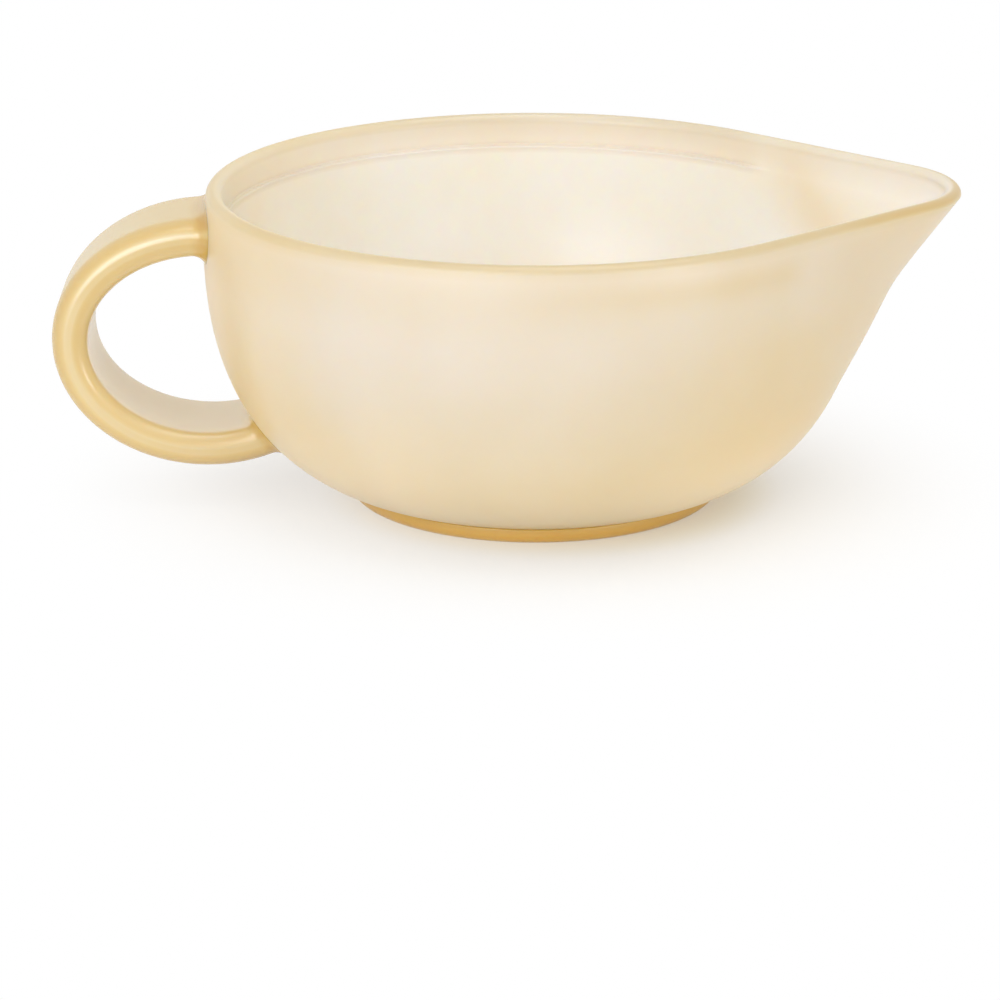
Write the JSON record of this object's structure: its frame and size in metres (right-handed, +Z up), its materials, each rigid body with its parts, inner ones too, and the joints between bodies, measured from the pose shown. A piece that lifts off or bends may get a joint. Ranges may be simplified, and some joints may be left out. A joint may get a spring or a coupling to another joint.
{
  "type": "baby feeding bowl",
  "caption": "Round soft rubber feeding bowl with a wide pouring spout, an inner ledge below the rim, a strap loop handle and a thick round foot.",
  "frame": {"origin": "middle of the foot's underside, on the axis of the round bowl", "axes": "+X towards the spout's tip, +Z up out of the bowl, +Y to the left seen from the handle"},
  "size_m": [0.1658, 0.121, 0.058],
  "materials": {
    "bowl_rubber": "translucent cream, satin",
    "handle_rubber": "translucent amber cream, satin",
    "foot_rubber": "translucent amber, satin"
  },
  "bodies": {
    "root": {"bowl": "bowl_rubber", "handle": "handle_rubber", "foot": "foot_rubber"}
  },
  "joints": []
}
